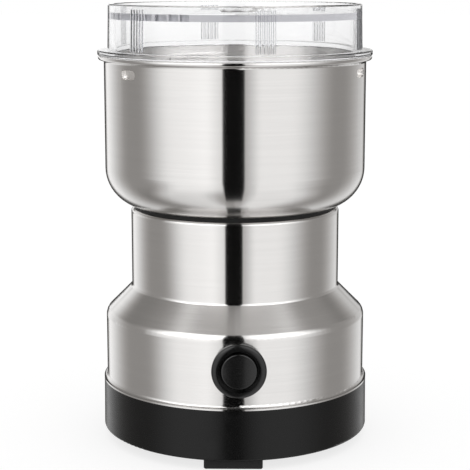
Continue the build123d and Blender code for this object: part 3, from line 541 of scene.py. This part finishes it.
worked_metal("blade_steel", "Ground blade steel", (0.66, 0.66, 0.65), 0.25, 2400, 500)
worked_metal("zinc_steel", "Zinc plated steel", (0.62, 0.64, 0.66), 0.34, 1500, 900)
worked_metal("spring_steel", "Spring steel", (0.45, 0.45, 0.46), 0.3, 2000, 1500)
worked_metal("copper", "Copper segments", (0.9, 0.48, 0.3), 0.28, 3000, 700)
worked_metal("bronze", "Sintered bronze", (0.6, 0.4, 0.22), 0.48, 1200, 2200)
worked_metal("brass", "Brass sheet", (0.78, 0.6, 0.3), 0.3, 900, 900)

# %% [markdown]
# ## Laminations, windings and carbon
#
# The stator and the armature are stacks of half millimetre sheet, which show as even lines round their sides.
# Windings are hundreds of turns of enamelled wire: amber, glossy and ribbed. Carbon brushes are matt and nearly
# black with a faint sparkle of graphite.

# %% Motor finishes
def layered(slot, name, colour, roughness, pitch, depth, metallic, coat):
    """Thin layers along Z, each a pitch apart, with a shallow gap between them."""
    material, wire = start(name)
    spot = place_on(wire)
    z = spot.split()[2]
    ridge = wire.maths("SINE", z * (2 * pi / pitch)) * 0.5 + 0.5
    cloud = noise(wire, spot, 260, detail=3.0)
    dark = tuple(0.6 * part for part in colour)
    surface(
        slot, material, wire,
        (ridge ** 0.5 * 0.7 + cloud * 0.3).blend(dark, colour),
        roughness + (cloud - 0.5) * 0.15,
        relief=ridge * depth,
        metallic=metallic,
        coat_weight=coat,
        coat_roughness=0.15,
    )


layered("laminated_steel", "Laminated motor steel", (0.33, 0.33, 0.35), 0.42, 0.0005, 0.00003, 1.0, 0.0)
layered("enamelled_copper", "Enamelled copper wire", (0.55, 0.2, 0.06), 0.3, 0.0007, 0.00012, 0.7, 0.6)

material, wire = start("Carbon")
spot = place_on(wire)
grains = noise(wire, spot, 3500, detail=3.0)
surface(
    "carbon", material, wire,
    grains.rise(0.45, 0.75).blend((0.02, 0.02, 0.021), (0.07, 0.07, 0.075)),
    0.5 + (grains - 0.5) * 0.2,
    relief=grains * 0.00002,
)

# %% [markdown]
# ## The lip of the button housing
#
# The button sits in a black collar whose outer edge is rolled over like a small tyre: its upper left and upper
# right catch the panels, and its underside stays dark. The CAD collar has a plain slope there, so a ring goes
# over it. It is a flat band spun about the button's axis. Its outer front edge is bevelled to a quarter round,
# and the whole band is then squeezed to half its depth, which makes the round an ellipse that starts at the
# button's gap. A torus would do as well, but its inner half would have to be cut away.

# %% Collar lip
low_corner, high_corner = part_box("switch_bezel")
collar_front = low_corner[1] - 0.00005
collar_height = (low_corner[2] + high_corner[2]) / 2
lip_inner, lip_outer = 0.00795, 0.0102
lip_depth, lip_round = 0.0026, 0.0022
lip_squeeze = 0.5
close_enough = 1e-6


def on_outer_front(vert):
    """Whether a corner of the band lies on its outer front edge."""
    out = (vert.co.x ** 2 + (vert.co.z - collar_height) ** 2) ** 0.5
    return abs(vert.co.y - collar_front) < close_enough and abs(out - lip_outer) < close_enough


lip = bmesh.new()
corners = [
    lip.verts.new((radius, collar_front + depth, collar_height))
    for radius, depth in ((lip_inner, 0.0), (lip_outer, 0.0), (lip_outer, lip_depth), (lip_inner, lip_depth))
]
section = [lip.edges.new((corners[index], corners[index - 1])) for index in range(4)]
bmesh.ops.spin(
    lip, geom=corners + section, cent=(0.0, 0.0, collar_height), axis=(0.0, 1.0, 0.0),
    angle=2 * pi, steps=128, use_merge=True,
)
outer_edge = [edge for edge in lip.edges if all(on_outer_front(vert) for vert in edge.verts)]
bmesh.ops.bevel(
    lip, geom=outer_edge, offset=lip_round, offset_type="OFFSET", affect="EDGES", segments=10, profile=0.5,
    material=-1,
)
bmesh.ops.scale(
    lip, vec=(1.0, lip_squeeze, 1.0), space=Matrix.Translation((0.0, -collar_front, 0.0)), verts=lip.verts,
)
bmesh.ops.recalc_face_normals(lip, faces=lip.faces)
for face in lip.faces:
    face.smooth = True

collar_lip = into_object("collar_lip", lip)
collar_lip.data.set_sharp_from_angle(angle=radians(40))
collar_lip.data.materials.append(finishes["bezel_plastic"])
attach(collar_lip, "grinder")
print("collar lip:", len(collar_lip.data.polygons), "faces,", len(outer_edge), "edges rounded")

# %% [markdown]
# ## The button's spring
#
# Behind the button a coil spring pushes it back out. A real spring gets shorter as the button slides in; here
# the coil is built at rest, on a mesh of its own, in place of the CAD spring.

# %% Button spring
low_corner, high_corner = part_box("button_spring")
spring_wire = 0.00035
spring_turns, spring_steps = 5, 48
spring_middle = (low_corner[2] + high_corner[2]) / 2
spring_ring = (high_corner[0] - low_corner[0]) / 2 - spring_wire
spring_length = high_corner[1] - low_corner[1]
spring_rise = (spring_length - 2 * spring_wire) / (spring_turns * spring_steps)

coil = bmesh.new()
bmesh.ops.create_circle(
    coil, segments=12, radius=spring_wire,
    matrix=Matrix.Translation((spring_ring, low_corner[1] + spring_wire, spring_middle)),
)
bmesh.ops.spin(
    coil, geom=coil.verts[:] + coil.edges[:], cent=(0.0, 0.0, spring_middle), axis=(0.0, 1.0, 0.0),
    dvec=(0.0, spring_rise, 0.0), angle=2 * pi * spring_turns, steps=spring_turns * spring_steps,
    use_merge=False,
)
bmesh.ops.holes_fill(coil, edges=[edge for edge in coil.edges if edge.is_boundary], sides=0)
bmesh.ops.recalc_face_normals(coil, faces=coil.faces)
for face in coil.faces:
    face.smooth = len(face.verts) == 4

button_coil = into_object("button_coil", coil)
button_coil.data.materials.append(finishes["spring_steel"])
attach(button_coil, "grinder")
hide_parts("button_spring")
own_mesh(button_coil)
print("spring:", spring_turns, "turns,", round(spring_length * 1000, 2), "mm long at rest")

# %% [markdown]
# ## Dressing the pieces
#
# Every CAD piece arrives with one material named after its slot in the record. Swapping it in the object's
# material slot keeps the piece where it is and gives it the finish made above.

# %% Dress the nodes
for name, node in sorted(nodes.items()):
    for holder in node.material_slots:
        holder.material = finishes[holder.material.name.split(".")[0]]
print(len(finishes), "finishes on", len(nodes), "pieces")
